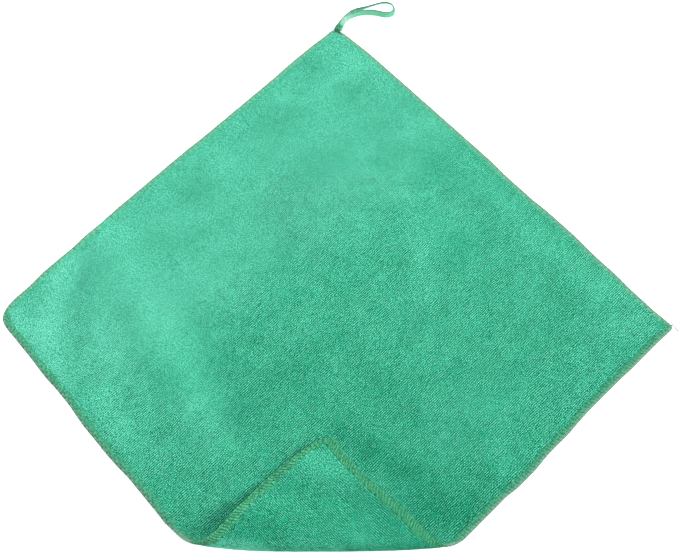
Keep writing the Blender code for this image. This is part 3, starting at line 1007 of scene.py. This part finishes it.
# Each section is squared up, and its points keep how far along, across and through the tape they are.
tape_bm.verts.ensure_lookup_table()
woven = np.zeros((len(tape_bm.verts), 3))
tape_length = 0.0
for index, section in enumerate(sections):
    tape_length += (tape_places[index] - tape_places[max(index - 1, 0)]).length / MM
    to_section = section.inverted()
    for vertex in tape_bm.verts[index * TAPE_SIDES:(index + 1) * TAPE_SIDES]:
        flat = to_section @ vertex.co
        flat.y = math.copysign(abs(flat.y) ** FLAT_FACED, flat.y)
        vertex.co = section @ flat
        woven[vertex.index] = (tape_length, flat.x, flat.y)
bmesh.ops.recalc_face_normals(tape_bm, faces=tape_bm.faces[:])
tape_mesh = bpy.data.meshes.new("loop_tape")
tape_bm.to_mesh(tape_mesh)
tape_bm.free()
tape_mesh.shade_smooth()
keep_on_points(tape_mesh, "woven", woven)
loop = bpy.data.objects.new("loop_tape", tape_mesh)
bpy.context.scene.collection.objects.link(loop)

# Colours of the tape: painted paler, as lit, on the face that looks into the loop; darker along the upper
# selvage as painted shade; and painted pale again, as a highlight, for a stretch near each end.
TAPE_GREEN = (0.060, 0.310, 0.175, 1)
TAPE_PALE = (0.160, 0.460, 0.290, 1)
TAPE_INNER_LIT = (0.360, 0.680, 0.530, 1)
TAPE_SHADE = (0.075, 0.210, 0.140, 1)
TAPE_NECK_HIGHLIGHT = (0.400, 0.600, 0.500, 1)
NECK_RISE = (4, 7)
NECK_FALL = (9, 16)
NECK_HIGHLIGHT_SHARE = 0.6
SELVAGE = (0.6, 0.9)
PICK_SPACING = 0.55
YARN_SIZE = (1.4, 0.6, 1.0)
# The levels through the tape between which its outer face turns to the inner one.
INNER_LEVELS = (-0.3, 0.3)
# How much the yarns show in the inner face, in the colour and in the relief.
YARNS_INSIDE = 0.4
YARNS_IN_COLOUR = 0.7
YARNS_IN_RELIEF = 0.4
WEAVE_RELIEF = 0.12 * MM

tape, tape_shader, weave = textile("loop_tape", fuzz=0.1, fuzz_tint=(0.85, 1.0, 0.9))
tape_place = weave.stored_place("woven")
along_tape = tape_place.part(0)
picks = abs((along_tape / PICK_SPACING).fract() - 0.5) * 2
yarns = tape_place.noise(YARN_SIZE, detail=2.0)
# The face that looks into the loop is painted pale, as lit.
inner_lit_share = tape_place.part(2).between(*INNER_LEVELS) * (yarns * YARNS_INSIDE + (1 - YARNS_INSIDE))
from_end = along_tape.or_less(tape_length - along_tape)
# A painted highlight on a stretch near each end of the tape.
neck_highlight = from_end.between(*NECK_RISE) * (1 - from_end.between(*NECK_FALL))
woven_light = yarns * YARNS_IN_COLOUR + picks * (1 - YARNS_IN_COLOUR)
tape_colour = woven_light.blend(TAPE_GREEN, TAPE_PALE)
tape_colour = inner_lit_share.blend(tape_colour, TAPE_INNER_LIT)
# The upper selvage is painted darker, as shade.
tape_colour = tape_place.part(1).between(*SELVAGE).blend(tape_colour, TAPE_SHADE)
tape_colour = (neck_highlight * NECK_HIGHLIGHT_SHARE).blend(tape_colour, TAPE_NECK_HIGHLIGHT)
woven_height = yarns * YARNS_IN_RELIEF + picks * (1 - YARNS_IN_RELIEF)
wear(tape_shader, tape_colour, woven_height, WEAVE_RELIEF)
tape_mesh.materials.append(tape)
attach(loop, "root")
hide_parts("hanging_loop")

# The tack: a few dark turns of sewing thread that hold both ends of the tape to the cloth. They lie flat
# round the tape, each slanting against the one before. Its sizes are in mm.
TACK_MIDDLE = Vector((6.3, 207.4, 2.4)) * MM + MIDDLE
TACK_RUN = Vector((0.45, 0.89, 0))
TACK_HALF_WIDTH = 2.1
TACK_HALF_HEIGHT = 2.0
TACK_SPACING = 0.62
TACK_TURNS = 8
TACK_SLANT = 0.25
TACK_THREAD = 0.28
TACK_SIDES = 6
TACK_STEPS = 20
TACK_GREEN = (0.060, 0.300, 0.160, 1)
TACK_DEEP = (0.006, 0.110, 0.055, 1)
TWIST_SIZE = (0.8, 0.8, 0.5)
TWIST_LEVELS = (0.4, 0.6)
TWIST_RELIEF = 0.1 * MM


def add_tack_turn(bm, onward, slant):
    """One closed turn of thread, flat across the tape and set onward along it."""
    before = set(bm.verts)
    ring = bmesh.ops.create_circle(bm, segments=TACK_SIDES, radius=TACK_THREAD)["verts"]
    upright = Matrix.Translation((1, 0, 0)) @ Matrix.Rotation(math.pi / 2, 4, "X")
    bmesh.ops.transform(bm, matrix=upright, verts=ring)
    ring_edges = list(dict.fromkeys(edge for vertex in ring for edge in vertex.link_edges))
    bmesh.ops.spin(
        bm,
        geom=ring + ring_edges,
        cent=(0, 0, 0),
        axis=(0, 0, 1),
        angle=2 * math.pi,
        steps=TACK_STEPS,
        use_merge=True,
    )
    for vertex in [vertex for vertex in bm.verts if vertex not in before]:
        reach = math.hypot(vertex.co.x, vertex.co.y)
        round_x, round_y = vertex.co.x / reach, vertex.co.y / reach
        vertex.co.x = round_x * (TACK_HALF_WIDTH + reach - 1)
        vertex.co.y = round_y * (TACK_HALF_HEIGHT + reach - 1)
        vertex.co.z += onward + slant * round_x


tack_bm = bmesh.new()
for turn in range(TACK_TURNS):
    onward = TACK_SPACING * (turn - (TACK_TURNS - 1) / 2)
    add_tack_turn(tack_bm, onward, TACK_SLANT * (-1) ** turn)
forward = TACK_RUN.normalized()
sideways = Vector((0, 0, 1)).cross(forward)
tack_axes = Matrix((sideways, Vector((0, 0, 1)), forward)).transposed().to_4x4()
tack_matrix = Matrix.Translation(TACK_MIDDLE) @ tack_axes @ Matrix.Scale(MM, 4)
bmesh.ops.transform(tack_bm, matrix=tack_matrix, verts=tack_bm.verts[:])
bmesh.ops.recalc_face_normals(tack_bm, faces=tack_bm.faces[:])
tack_mesh = bpy.data.meshes.new("loop_tack")
tack_bm.to_mesh(tack_mesh)
tack_bm.free()
tack_mesh.shade_smooth()
keep_on_points(tack_mesh, "tack", points_of(tack_mesh) / MM)
tack = bpy.data.objects.new("loop_tack", tack_mesh)
bpy.context.scene.collection.objects.link(tack)

tack_thread, tack_shader, turns = textile("tack_thread", fuzz=0.1, fuzz_tint=(0.8, 1.0, 0.85))
twists = turns.stored_place("tack").noise(TWIST_SIZE).between(*TWIST_LEVELS)
wear(tack_shader, twists.blend(TACK_DEEP, TACK_GREEN), twists, TWIST_RELIEF)
tack_mesh.materials.append(tack_thread)
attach(tack, "root")
